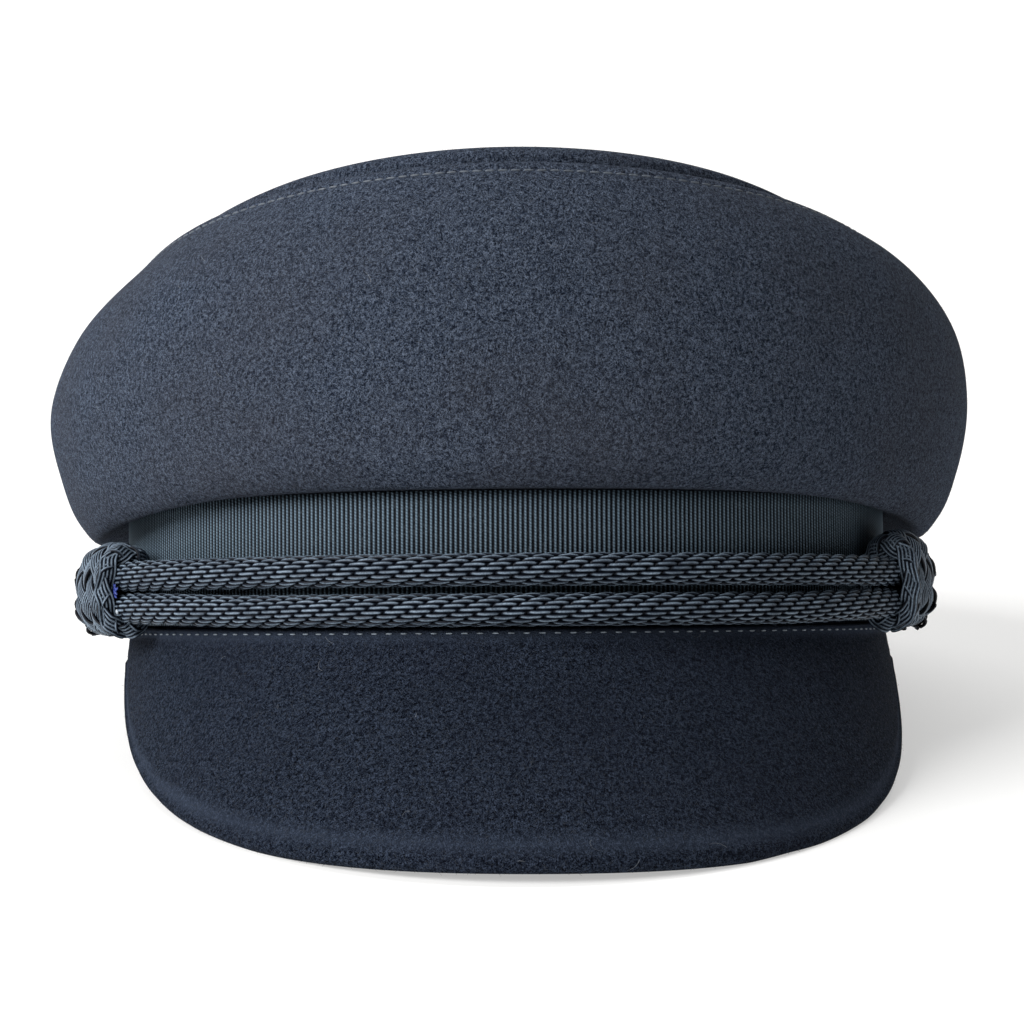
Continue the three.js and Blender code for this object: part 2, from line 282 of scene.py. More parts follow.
def wool(name, deep, felt, fibre, worn, sheen):
    material, tree, shader = new_material(name)
    place = tree.nodes.new("ShaderNodeTexCoord").outputs["Object"]
    broken = ramp(tree, noise(tree, place, 1500, 1.0), 0.36, 0.62)
    coarse = times(tree, strands(tree, place, 2100, 0.085), broken)
    elsewhere = shifted(tree, place, (0.3, 0.1, 0.2))
    broken = ramp(tree, noise(tree, elsewhere, 1300, 1.0), 0.36, 0.62)
    fine = times(tree, strands(tree, elsewhere, 2900, 0.1), broken)
    mottle = ramp(tree, noise(tree, place, 3000, 1.5, 0.6), 0.4, 0.64)
    patches = ramp(tree, noise(tree, place, 22, 3.0, 0.6), 0.42, 0.72)
    colour = mix_colour(tree, mottle, deep, felt)
    colour = mix_colour(tree, times(tree, fine, 0.5), colour, fibre)
    colour = mix_colour(tree, times(tree, coarse, 0.75), colour, fibre)
    colour = mix_colour(tree, times(tree, patches, 0.35), colour, worn)
    # Painted light: where a piece marks it, the felt is painted paler, towards the fibre colour.
    painted_light_share = add(tree, "ShaderNodeAttribute", attribute_name="painted_light").outputs["Fac"]
    colour = mix_colour(tree, times(tree, painted_light_share, 0.6), colour, fibre)
    tree.links.new(colour, shader.inputs["Base Color"])
    height = math_node(tree, "ADD", times(tree, mottle, 0.8),
                       times(tree, math_node(tree, "MAXIMUM", coarse, fine), 0.5))
    bump = add(tree, "ShaderNodeBump", Strength=0.7, Distance=0.0003)
    tree.links.new(height, bump.inputs["Height"])
    tree.links.new(bump.outputs["Normal"], shader.inputs["Normal"])
    shader.inputs["Roughness"].default_value = 1.0
    shader.inputs["Specular IOR Level"].default_value = 0.04
    shader.inputs["Sheen Weight"].default_value = sheen
    shader.inputs["Sheen Roughness"].default_value = 0.5
    shader.inputs["Sheen Tint"].default_value = (0.62, 0.7, 0.85, 1)
    return material


# The peak and the head band get a copy of the felt about a fifth as bright as the crown's.
CROWN_WOOL = wool("crown_wool", (0.003, 0.0045, 0.009), (0.023, 0.032, 0.053), (0.14, 0.172, 0.235),
                  (0.034, 0.033, 0.038), 0.02)
PEAK_WOOL = wool("peak_wool", (0.0004, 0.0007, 0.002), (0.0042, 0.007, 0.0145), (0.056, 0.074, 0.113),
                 (0.008, 0.01, 0.018), 0.01)


# %% [markdown]
# ## The crown's wall
# The wall is one soft band of felt, wide at half height and drawn in at both seams. Its rings are the same as the
# CAD model's: how far each lies to the left, right, front and back, how high, how much higher in front, and how far
# its sides hang. A smooth curve through those rows gives the bulge, and low waves keep it from looking turned.

# %% Rings and the curve through them
WALL = [
    # left, right, front, back, height, rise, drop
    (82.4, 82.4, 98.4, 98.4, 27.8, 0, 0),  # seam on the band
    (85.4, 85.4, 101.5, 101.5, 27.8, 0, 0.2),  # edge of the ribbon
    (87.4, 87.6, 103.8, 105, 27.6, 0.2, 3),  # tuck
    (91.7, 93.3, 106, 109.5, 28.7, 0.5, 8.6),  # under
    (96.2, 98, 108.5, 115, 32, 1, 7.5),  # low
    (100, 102, 110, 120, 40, 3, 6),  # belly
    (102.1, 104.4, 110, 122, 52, 6, 4),  # widest
    (97, 102.4, 107.5, 120, 63, 11, 2),  # upper
    (87, 94, 102, 113, 71, 15, 0),  # shoulder
    (83.4, 88, 99.2, 108.5, 73.6, 16, 0),  # break
    (76.5, 78, 95.5, 103, 74.6, 16.4, 0),  # top seam
]
TOP = [
    (78.4, 79.9, 97.4, 104.9, 72.3, 16.4, 0),  # allowance, turned under the wall
    (76.4, 77.9, 95.4, 102.9, 75, 16.4, 0),  # rim
    (76.3, 77.8, 95.6, 103.1, 76.8, 16.4, 0),  # roll
    (74, 75.5, 93.8, 101, 78.3, 16.2, 0),  # crest
    (64, 66, 80, 87, 79.1, 13.8, 0),  # slope
    (36, 38, 46, 50, 79.8, 7.9, 0),  # middle
    (0, 0, 0, 0, 80, 0, 0),  # centre
]


def row_places(rows):
    """Where each row lies between the first and the last, from 0 to 1, by the distance along the profile."""
    table = np.array(rows, float)
    steps = np.linalg.norm(np.diff(table[:, [1, 2, 4]], axis=0), axis=1)
    return np.concatenate([[0], np.cumsum(steps)]) / steps.sum()


def through_rows(rows, v):
    """The table's columns at v from 0 to 1, on a smooth curve through its rows."""
    table = np.array(rows, float)
    at = row_places(rows)
    slopes = np.zeros_like(table)
    gaps = np.diff(at)[:, None]
    chords = np.diff(table, axis=0) / gaps
    slopes[1:-1] = (chords[:-1] * gaps[1:] + chords[1:] * gaps[:-1]) / (gaps[1:] + gaps[:-1])
    slopes[0], slopes[-1] = chords[0], chords[-1]
    i = np.clip(np.searchsorted(at, v, side="right") - 1, 0, len(at) - 2)
    h = (at[i + 1] - at[i])[:, None]
    t = ((v - at[i])[:, None]) / h
    return ((2 * t**3 - 3 * t**2 + 1) * table[i] + (t**3 - 2 * t**2 + t) * h * slopes[i]
            + (3 * t**2 - 2 * t**3) * table[i + 1] + (t**3 - t**2) * h * slopes[i + 1])


def on_ring(columns, angle, out=0.0):
    """The point of a ring at an angle from the front, moved out by some millimetres."""
    left, right, front, back, height, rise, drop = columns.T
    c, s = np.cos(angle), np.sin(angle)
    # The wider side takes over smoothly past the middle.
    side = smooth(s, -0.35, 0.35)
    width = left + (right - left) * side + out
    length = np.where(c > 0, front, back) + out
    return np.stack([width * s, -length * c, height + rise * c - drop * s**4], axis=-1)


# %% Low waves in the cloth
def waves(u, v, seed, count=14, most=9):
    """A soft, repeatable unevenness from -1 to 1 that closes on itself along u."""
    random = np.random.default_rng(seed)
    total = np.zeros_like(u)
    for _ in range(count):
        around, across = random.integers(1, most), random.uniform(0.5, 3.5)
        shift, weight = random.uniform(0, 2 * math.pi, 2), random.uniform(0.4, 1) / (1 + 0.25 * around)
        total += weight * np.sin(2 * math.pi * around * u + shift[0]) * np.cos(math.pi * across * v + shift[1])
    return total / 2.2


STITCHES_ROUND = 216  # of the topstitch below the top seam
SHOULDER, BREAK = row_places(WALL)[8:10]
STITCH_LINE = BREAK - 0.22 * (BREAK - SHOULDER)  # where it runs, as a share of the wall's height
WALL_WAVES, STITCH_PULL, PUCKER, SEAM_ROLL = 0.55, 0.4, 0.07, 0.55  # how high or deep each is


def wall_shape(u, v):
    angle = 2 * math.pi * (u - 0.5)
    columns = through_rows(WALL, v)
    free = smooth(v, 0.1, 0.3) * (1 - smooth(v, 0.78, 0.92))
    out = WALL_WAVES * waves(u, v, 3) * free
    # The topstitch pulls the cloth in, and between two stitches it puckers a little.
    above = np.clip((v - STITCH_LINE) / (1 - STITCH_LINE), 0, 1)
    out -= STITCH_PULL * np.exp(-(((v - STITCH_LINE) / 0.006) ** 2))
    out += PUCKER * np.cos(2 * math.pi * STITCHES_ROUND * u) * np.exp(-(((v - STITCH_LINE) / 0.02) ** 2))
    # Above it the seam allowance lies doubled, and fills a small roll before the seam.
    points = on_ring(columns, angle, out)
    points[:, 2] += SEAM_ROLL * np.sin(math.pi * above**0.8)
    return points


CLOTH = 2.0
crown_wall = bend_grid("crown_wall_felt", 76, 2 * STITCHES_ROUND, wall_shape, (620, 92))
thicken(crown_wall, CLOTH)
finish_piece(crown_wall, CROWN_WOOL, "wool", "crown_wall")


# %% [markdown]
# ## The crown's top
# The top is a flat oval of the same felt, sewn to the wall with its edge turned in. The turned edge makes a roll
# that stands a little over the seam. It is bent from a grid too: along it runs round the oval, across it runs from
# the rim to the middle, where all the points of the last row merge into one.

# %% Top
TOP_WAVES = 0.7


def top_shape(u, v):
    angle = 2 * math.pi * (u - 0.5)
    inwards = v**1.35  # closer rows at the rim, where the roll bends
    columns = through_rows(TOP, inwards)
    points = on_ring(columns, angle)
    points[:, 2] += (TOP_WAVES * waves(u, inwards, 8)
                     * smooth(inwards, 0.12, 0.4) * (1 - smooth(inwards, 0.8, 1.0)))
    return points


crown_top = bend_grid("crown_top_felt", 46, 2 * STITCHES_ROUND, top_shape, (560, 88))
thicken(crown_top, CLOTH)
finish_piece(crown_top, CROWN_WOOL, "wool", "crown_top")


# %% [markdown]
# ## The head band and the ribbon
# The band is plain felt. The ribbon round it is grosgrain, whose ribs run up and down: a fat weft is packed over a
# fine warp. At this distance each rib shows, so the ribs are real: the ribbon's outside swells and sinks once for
# each rib, and its two edges end in a flat woven selvedge. A finer thread pattern is left to the material.

# %% Band
BAND_EDGE = 0.5  # how far its edges are rounded


def band_shape(out):
    def shape(u, v):
        return on_band(2 * math.pi * (u - 0.5), out + 0 * v, BAND_HEIGHT * v)
    return shape


head_band = bend_grid("head_band_felt", 12, 216, band_shape(BAND_CLOTH), (580, BAND_HEIGHT))
thicken(head_band, BAND_CLOTH)
bevel = head_band.modifiers.new("soft edges", "BEVEL")
bevel.width, bevel.segments = BAND_EDGE * MM, 2
bpy.ops.object.modifier_apply(modifier=bevel.name)
press_on_table(head_band)
finish_piece(head_band, PEAK_WOOL, "wool", "head_band")

# %% Grosgrain
RIBS = 560
RIB_STEPS = 4
RIB_HEIGHT, RIBBON_WAVES = 0.36, 0.06
SELVEDGE = 0.035  # share of the ribbon's width
WEFT = 1650  # threads of the weft in each metre of a rib's length


def ribbon_shape(u, v):
    angle = 2 * math.pi * (u - 0.5)
    edge = smooth(v, 0, SELVEDGE) * (1 - smooth(v, 1 - SELVEDGE, 1))
    rib = np.abs(np.cos(math.pi * RIBS * u)) ** 0.8
    out = RIBBON_OUT - RIB_HEIGHT * (1 - rib) * (0.2 + 0.8 * edge) + RIBBON_WAVES * waves(u, v, 5, most=14)
    return on_band(angle, out, RIBBON_BOTTOM + (BAND_HEIGHT - RIBBON_BOTTOM) * v)


def grosgrain(name, hollow_shade, rib, thread, sheen):
    """Ribs across the ribbon's length, each wound by slanting threads. U counts the whole ribbon, V is in metres."""
    material, tree, shader = new_material(name)
    split = tree.nodes.new("ShaderNodeSeparateXYZ")
    tree.links.new(tree.nodes.new("ShaderNodeUVMap").outputs["UV"], split.inputs[0])
    turn = times(tree, split.outputs["X"], math.pi * RIBS)
    ridge = math_node(tree, "ABSOLUTE", math_node(tree, "COSINE", turn))
    # The slant of the threads alternates, so they shift by half a thread from rib to rib.
    rise = times(tree, split.outputs["Y"], 2 * math.pi * WEFT)
    slant = math_node(tree, "ADD", rise, turn)
    thread_line = ramp(tree, math_node(tree, "SINE", slant), -1.0, 1.0)
    place = tree.nodes.new("ShaderNodeTexCoord").outputs["Object"]
    fine = noise(tree, place, 1500, 2.0)
    dust = noise(tree, place, 240, 3.0, 0.6)
    # Painted light: only the crest of each rib takes the rib colour, as a painted highlight broken by the slanting
    # thread lines, and the hollows between the ribs are painted near black as shade.
    crest = math_node(tree, "POWER", ridge, 4.0)
    lit = times(tree, crest, ramp(tree, thread_line, -0.9, 1.0))
    colour = mix_colour(tree, lit, hollow_shade, rib)
    shade = times(tree, ramp(tree, fine, 0.5, 0.8), times(tree, ramp(tree, dust, 0.4, 0.7), 0.25))
    colour = mix_colour(tree, shade, colour, thread)
    tree.links.new(colour, shader.inputs["Base Color"])
    height = math_node(tree, "ADD", times(tree, thread_line, 0.6), times(tree, fine, 0.4))
    bump = add(tree, "ShaderNodeBump", Strength=0.6, Distance=0.0002)
    tree.links.new(height, bump.inputs["Height"])
    tree.links.new(bump.outputs["Normal"], shader.inputs["Normal"])
    shader.inputs["Roughness"].default_value = 0.6
    shader.inputs["Specular IOR Level"].default_value = 0.1
    shader.inputs["Sheen Weight"].default_value = sheen
    shader.inputs["Sheen Roughness"].default_value = 0.4
    shader.inputs["Sheen Tint"].default_value = (0.6, 0.75, 0.85, 1)
    return material


RIBBON_CLOTH_LOOK = grosgrain("ribbon_grosgrain", (0.001, 0.002, 0.004), (0.148, 0.214, 0.275),
                              (0.18, 0.22, 0.26), 0.01)
ribbon = bend_grid("ribbon_grosgrain", 10, RIBS * RIB_STEPS, ribbon_shape, (1 / MM, 25.5))
thicken(ribbon, RIBBON_CLOTH - RIB_HEIGHT - 0.1)
finish_piece(ribbon, RIBBON_CLOTH_LOOK, "grosgrain", "ribbon")

# %% [markdown]
# ## The peak
# The peak is a stiff sheet covered with felt. Straight lines run forward and down from its root, and their length
# follows a rounded curve. Its outline is the CAD model's. Across it, one closed line goes from the root down the
# top, round the turned edge, and back along the underside, so one bent grid makes the whole of it. A narrow strip
# covers the root, and the topstitch runs along that.

# %% Peak
PEAK_LENGTH, PEAK_END, PEAK_SKEW, PEAK_FULLNESS = 57.0, 13.0, 0.017, 3.45
PEAK_DROOP = math.radians(48)
PEAK_HALF_SPAN = math.radians(78)
PEAK_THICK, PEAK_BEAD = 3.2, 0.5
PEAK_ROOT_TOP = RIBBON_BOTTOM - GAP
ROOT_STRIP = 2.9
RIDGE_AT = 5.0  # of the pressed ridge, from the peak's edge
DOWN = np.array([0, -math.cos(PEAK_DROOP), -math.sin(PEAK_DROOP)])


def peak_reach(angle):
    share = np.clip(np.abs(angle) / PEAK_HALF_SPAN, 0, 1)
    reach = PEAK_END + (PEAK_LENGTH - PEAK_END) * (1 - share**PEAK_FULLNESS) ** 0.66
    return reach * (1 + PEAK_SKEW * np.sin(angle))


def on_peak(angle, run, depth):
    """A point so far down the peak's slope from its root, and so deep under its top face."""
    along = band_axes(angle)[0]
    inward = unit(np.cross(along, DOWN))
    root = on_band(angle, RIBBON_OUT + 0 * angle, PEAK_ROOT_TOP + 0 * angle)
    return root + DOWN * np.asarray(run)[..., None] + inward * np.asarray(depth)[..., None]


def lift_from_table(points):
    """Presses down-facing cloth flat where it would go below the table."""
    height = points @ LEAN_TURN.T[:, 2] + BAND_CENTRE[2]
    return points + np.maximum(TABLE_GAP - height, 0)[:, None] * LEAN_TURN[2]


def peak_profile(angle):
    """The closed line across the peak at one angle, from the lip down the top and back under: rows of x, y, z and how
    much painted light the cloth gets there, from 0 to 1.5: the root strip is painted pale against the rope's shadow,
    and the pressed ridge gets a painted highlight."""
    reach = float(peak_reach(angle))
    inward = np.cross(band_axes(np.array(angle))[0], DOWN)
    inward /= np.linalg.norm(inward)
    heel = max(0.0, (PEAK_ROOT_TOP + GAP + inward[2] * PEAK_THICK) / math.sin(PEAK_DROOP))
    roll = PEAK_THICK / 2 + PEAK_BEAD  # radius of the turned edge
    flat = reach - RIDGE_AT
    line = [(0.0, -0.1), (ROOT_STRIP - 0.8, -0.2), (ROOT_STRIP - 0.3, -0.12), (ROOT_STRIP + 0.1, 0.2)]
    line += [(ROOT_STRIP + 0.8 + (flat - ROOT_STRIP - 2.2) * k / 6, 0.0) for k in range(7)]
    line += [(flat - 0.5, -0.08), (flat + 0.5, -0.08), (flat + 1.3, 0.18), (flat + 1.9, -0.1)]
    for turn in range(-90, 91, 20):
        turn = math.radians(turn)
        line.append((reach - roll + roll * math.cos(turn), PEAK_THICK / 2 + roll * math.sin(turn)))
    line += [(flat + (heel - flat) * k / 5, PEAK_THICK) for k in range(6)]
    runs, depths = np.array(line).T
    points = on_peak(np.full(len(runs), angle), runs, depths)
    lip = on_band(np.full(2, angle), np.full(2, BAND_CLOTH + GAP), np.array([-GAP, PEAK_ROOT_TOP]))
    # Painted light: the root strip, in the rope's shadow, and the pressed ridge are painted paler.
    painted_light_share = np.where((runs < ROOT_STRIP - 0.2) & (depths < 0.5), 1.5, 0.0)
    painted_light_share = np.where((np.abs(runs - flat) < 0.8) & (depths < 0.5), 0.8, painted_light_share)
    painted_light_share = np.append(painted_light_share, [0, 0, painted_light_share[0]])
    return np.column_stack([np.concatenate([points, lip, points[:1]]), painted_light_share])


PEAK_ROWS, PEAK_STEPS = 64, 220


def peak_lines():
    lines = np.empty((PEAK_STEPS + 1, PEAK_ROWS + 1, 4))
    for i in range(PEAK_STEPS + 1):
        rows = peak_profile(PEAK_HALF_SPAN * (2 * i / PEAK_STEPS - 1))
        lengths = np.linalg.norm(np.diff(rows[:, :3], axis=0), axis=1) + 0.35
        at = np.concatenate([[0], np.cumsum(lengths)]) / lengths.sum()
        for column in range(4):
            lines[i, :, column] = np.interp(np.linspace(0, 1, PEAK_ROWS + 1), at, rows[:, column])
    # Averaging with the neighbours rounds the corners of the line.
    closed = lines[:, :-1]
    closed = closed * 0.5 + (np.roll(closed, 1, axis=1) + np.roll(closed, -1, axis=1)) * 0.25
    return np.concatenate([closed, closed[:, :1]], axis=1)


PEAK_LINES = peak_lines()


def peak_at(u, v):
    return PEAK_LINES[np.rint(u * PEAK_STEPS).astype(int), PEAK_ROWS - np.rint(v * PEAK_ROWS).astype(int)]


def peak_shape(u, v):
    return lift_from_table(peak_at(u, v)[:, :3])


peak = bend_grid("peak_felt", PEAK_ROWS, PEAK_STEPS, peak_shape, (250, 124), lambda u, v: peak_at(u, v)[:, 3])
face_outwards(peak, fill=True)
finish_piece(peak, PEAK_WOOL, "wool", "peak")


# %% [markdown]
# ## The rope
# The rope is laid from seven plies, and each ply is twisted the other way from five yarns, which is what keeps a
# rope from coming undone. The two twists nearly cancel at the surface, so the yarns run straight along the rope
# while the plies cross it at a slant. Each yarn is its own thin tube here. It circles in its ply, which is pressed
# to a wedge between its neighbours. Its crest is marked for the material, which paints a highlight there, where
# shiny yarn shines, and paints the yarn near black as shade where it lies deep or faces in.

# %% The rope's route
CORD_DIAMETER = 6.3
CORD_LEVEL, CORD_RISE, CORD_SPREAD = 8.5, 0.4, 0.5
CORD_BEND, CORD_BEND_AT = 3.7, 12
LOOP_RISE = 1.8  # lifts the turns behind the knots, so that the knots hide them
KNOTS = [
    {"name": "knot_left", "side": -1, "angle": 65.6, "level": 9.6, "length": 21.5, "height": 19.8, "depth": 14},
    {"name": "knot_right", "side": 1, "angle": 62.6, "level": 10.7, "length": 20.5, "height": 20.8, "depth": 12.4},
]


def cord_point(angle, run, half=None):
    """Where one run of the rope lies: on the ribbon in front, and held off it by the knots near its ends."""
    held = KNOTS[0] if angle < 0 else KNOTS[1]
    near = float(smooth(abs(angle), math.radians(34), math.radians(held["angle"] - 6)))
    out = RIBBON_OUT + GAP + CORD_DIAMETER / 2 + near * (held["depth"] - CORD_DIAMETER) / 2
    level = CORD_LEVEL + near * CORD_RISE
    level += LOOP_RISE * float(smooth(math.degrees(abs(angle)), held["angle"], held["angle"] + 10))
    spread = CORD_DIAMETER / 2 + GAP / 2 + CORD_SPREAD * (1 - near) if half is None else half
    return on_band(np.array(angle), out, level + run * spread)


def cord_route():
    """The closed loop: across the front twice, with a turn behind each knot."""
    points = []
    for run in (1, -1):
        start, end = KNOTS if run > 0 else KNOTS[::-1]
        first = start["side"] * math.radians(start["angle"] + 6)
        last = end["side"] * math.radians(end["angle"] + 6)
        points += [cord_point(first + (last - first) * i / 30, run) for i in range(31)]
        for turn in (75, 30, 0, -30, -75):
            reach = (math.radians(end["angle"] + CORD_BEND_AT)
                     + CORD_BEND * math.cos(math.radians(turn)) / HEAD_HALF_LENGTH)
            points.append(cord_point(end["side"] * reach, run * math.sin(math.radians(turn)), CORD_BEND))
    return np.array(points)


def smooth_loop(points, count):
    """A closed smooth curve through the points, as so many evenly spaced points, and its length."""
    before, after, later = np.roll(points, 1, 0), np.roll(points, -1, 0), np.roll(points, -2, 0)
    t = np.linspace(0, 1, 40, endpoint=False)[:, None, None]
    fine = 0.5 * (2 * points + (after - before) * t + (2 * before - 5 * points + 4 * after - later) * t**2
                  + (3 * points - before - 3 * after + later) * t**3)
    fine = fine.transpose(1, 0, 2).reshape(-1, 3)
    fine = np.concatenate([fine, fine[:1]])
    lengths = np.concatenate([[0], np.cumsum(np.linalg.norm(np.diff(fine, axis=0), axis=1))])
    at = np.linspace(0, lengths[-1], count, endpoint=False)
    return np.stack([np.interp(at, lengths, fine[:, k]) for k in range(3)], axis=1), lengths[-1]


def around_head(points):
    """The direction away from the head at each point."""
    return unit(points / np.array([HEAD_HALF_WIDTH**2, HEAD_HALF_LENGTH**2, np.inf]))


def tangents(points):
    """The direction along a closed path at each of its points."""
    return unit(np.roll(points, -1, 0) - np.roll(points, 1, 0))


# %% Yarn tubes
def tubes(name, paths, outwards, heights, radius, sides, length):
    """Closed tubes along paths of equally many points, joined. Each path is a bent grid, as cloth is. outwards and
    heights say, for each point of each path, where the outside is and how far out the yarn lies, from 0 to 1. From
    them each point gets its share of painted light: a painted highlight on the outward crest, painted shade deeper
    down."""
    made = []
    for path, outward, height in zip(paths, outwards, heights):
        count = len(path)
        along = tangents(path)
        side = square_to(along, outward)
        other = np.cross(along, side)

        def section(u, v):
            i = np.rint(u * count).astype(int) % count
            turn = 2 * math.pi * v
            return i, turn

        def shape(u, v):
            i, turn = section(u, v)
            return path[i] + radius * (side[i] * np.cos(turn)[:, None] + other[i] * np.sin(turn)[:, None])

        def painted_light(u, v):
            i, turn = section(u, v)
            return height[i] * np.maximum(np.cos(turn), 0)

        made.append(bend_grid(name, sides, count, shape, (length, 2 * math.pi * radius), painted_light))
    return join(name, made)


def join(name, made):
    deselect()
    for piece in made:
        piece.select_set(True)
    bpy.context.view_layer.objects.active = made[0]
    if len(made) > 1:
        bpy.ops.object.join()
    made[0].name = made[0].data.name = name
    return made[0]


# %% Plies and yarns
PLIES, YARNS = 7, 5
CORD_LAY = 32.0
YARN_RADIUS = 0.45
YARN_LAY = 8.3  # length of cord in which a yarn goes once round its ply
YARN_OUT, YARN_IN = CORD_DIAMETER / 2 - YARN_RADIUS + 0.08, 1.45  # how far its middle swings from the cord's
YARN_SWING = 1.06  # to each side of its ply's middle
CORD_STEPS = 1400
# A yarn's rings crowd where it shows and turns down into the cord, and are few where it is hidden.
RING_TWISTS = np.radians([-84, -68, -48, -24, 0, 24, 48, 68, 84, 112, 180, 248])


def rope_yarns():
    """The paths of all the rope's yarns, ply by ply, with where their outside is and how far out they lie."""
    middle, length = smooth_loop(cord_route(), CORD_STEPS)
    along = tangents(middle)
    out = square_to(along, around_head(middle))
    rise = np.cross(out, along)
    turns, yarn_turns = round(length / CORD_LAY), round(length / YARN_LAY)
    twist = (2 * math.pi * np.arange(yarn_turns)[:, None] + RING_TWISTS).ravel()
    lean = np.cos(twist)
    far = (YARN_OUT + YARN_IN) / 2 + (YARN_OUT - YARN_IN) / 2 * np.sign(lean) * np.abs(lean) ** 0.45
    # A ply is a wedge of the round cord: wide outside and narrow within.
    room = 0.3 + (YARN_SWING - 0.3) * np.clip((far - YARN_IN) / (0.8 * (YARN_OUT - YARN_IN)), 0, 1)
    across = -room * 2 / math.pi * np.arcsin(0.99 * np.sin(twist))
    plies = []
    for ply in range(PLIES):
        yarns = []
        for yarn in range(YARNS):
            share = (twist / (2 * math.pi) - yarn / YARNS - 0.37 * ply) / yarn_turns
            around = 2 * math.pi * (ply / PLIES + turns * share) + across / far

            def there(table):
                steps = np.arange(CORD_STEPS) / CORD_STEPS
                return np.stack([np.interp(share, steps, column, period=1) for column in table.T], axis=1)

            outward = there(out) * np.cos(around)[:, None] + there(rise) * np.sin(around)[:, None]
            path = there(middle) + outward * far[:, None]
            # How far out a yarn lies sets its share of painted light: deep yarn is painted dark as shade.
            yarns.append((path, outward, smooth(far, YARN_OUT - 0.7, YARN_OUT - 0.15)))
        plies.append(yarns)
    print(f"rope: {length:.0f} mm round, {turns} turns of the plies, {yarn_turns} of the yarns")
    return plies, length


def yarn_look(name, deep, middle, pale, gloss=0.45):
    """Shiny filament yarn with fine lines along it: a painted highlight on the crest that its piece marks, and
    near-black painted shade where the yarn lies deep or faces in.
    """
    material, tree, shader = new_material(name)
    place = tree.nodes.new("ShaderNodeTexCoord").outputs["Object"]
    painted_light = add(tree, "ShaderNodeAttribute", attribute_name="painted_light").outputs["Fac"]
    specks = noise(tree, place, 2600, 2.0)
    patches = noise(tree, place, 240, 2.0)
    # Painted highlight on the yarn's crest, broken by patches and specks.
    crest = times(tree, ramp(tree, painted_light, 0.62, 0.95), ramp(tree, patches, 0.0, 0.75))
    crest = times(tree, crest, ramp(tree, specks, 0.0, 0.65))
    # Painted shade: yarn that lies deep or faces in turns from the middle tone to near black.
    colour = mix_colour(tree, ramp(tree, painted_light, 0.2, 0.7), deep, middle)
    tree.links.new(mix_colour(tree, crest, colour, pale), shader.inputs["Base Color"])
    bump = add(tree, "ShaderNodeBump", Strength=0.4, Distance=0.0001)
    tree.links.new(specks, bump.inputs["Height"])
    tree.links.new(bump.outputs["Normal"], shader.inputs["Normal"])
    shader.inputs["Roughness"].default_value = gloss
    shader.inputs["Specular IOR Level"].default_value = 0.12
    return material


ROPE_YARN = yarn_look("rope_yarn", (0.0015, 0.002, 0.004), (0.007, 0.011, 0.02), (0.28, 0.36, 0.45))
rope_plies, rope_length = rope_yarns()
for name, chosen in (("cord_plies_a", rope_plies[:4]), ("cord_plies_b", rope_plies[4:])):
    rope = tubes(name, *zip(*[yarn for ply in chosen for yarn in ply]), YARN_RADIUS, 6, rope_length)
    finish_piece(rope, ROPE_YARN, "cord", "cord")

# %% The rope's core
# The core gets no painted light, so it shows the yarn's deepest tone: near-black painted shade in the gaps between
# yarns.
core_path = smooth_loop(cord_route(), 180)[0]
core = tubes("cord_core", [core_path], [around_head(core_path)], [np.zeros(180)], YARN_IN, 8, rope_length)
finish_piece(core, ROPE_YARN, "cord")


# %% [markdown]
# ## The knots
# Each knot is a Turk's head: one long strand is led round a barrel nine times, and swings from mouth to mouth so
# that it goes over and under itself all the way. The strand is five fine yarns side by side, with the rope's painted
# highlight on their crests. A wave that is out of step with the swing lifts it at each second crossing. Under the
# weave lies a plain ring, painted dark as shade, so no gap shows.

# %% Turk's head
LEADS, BIGHTS = 9, 8
KNOT_YARNS, KNOT_YARN_RADIUS = 5, 0.39
KNOT_WAVE, KNOT_LIFT, KNOT_TAPER = 0.97, 0.4, 0.05
KNOT_INSET = 0.75  # from the outside of the weave to the strand's middle
KNOT_CURL = math.radians(-97), math.radians(118)  # how far its section has turned in at its two mouths
KNOT_STEPS = 1100
MOUTH_MARGIN = 1.1  # from the cords to the middle of the strand in a mouth


def knot_profile(knot):
    """The knot's section from mouth to mouth, by even steps of distance from -1 to 1: how far it bulges, how far
    along the rope it is, and which way its outside faces, out and along."""
    curl = np.linspace(*KNOT_CURL, 121)
    bulge = np.maximum(np.cos(curl), 0) ** 0.6
    along = (knot["length"] / 2 - KNOT_INSET) * np.sin(curl)
    line = np.stack([2.5 * bulge, along])
    steps = np.linalg.norm(np.diff(line, axis=1), axis=0)
    even = 2 * np.concatenate([[0], np.cumsum(steps)]) / steps.sum() - 1
    slope = np.gradient(line, axis=1)
    slope /= np.linalg.norm(slope, axis=0)
    return even, bulge, along, slope[1], -slope[0]


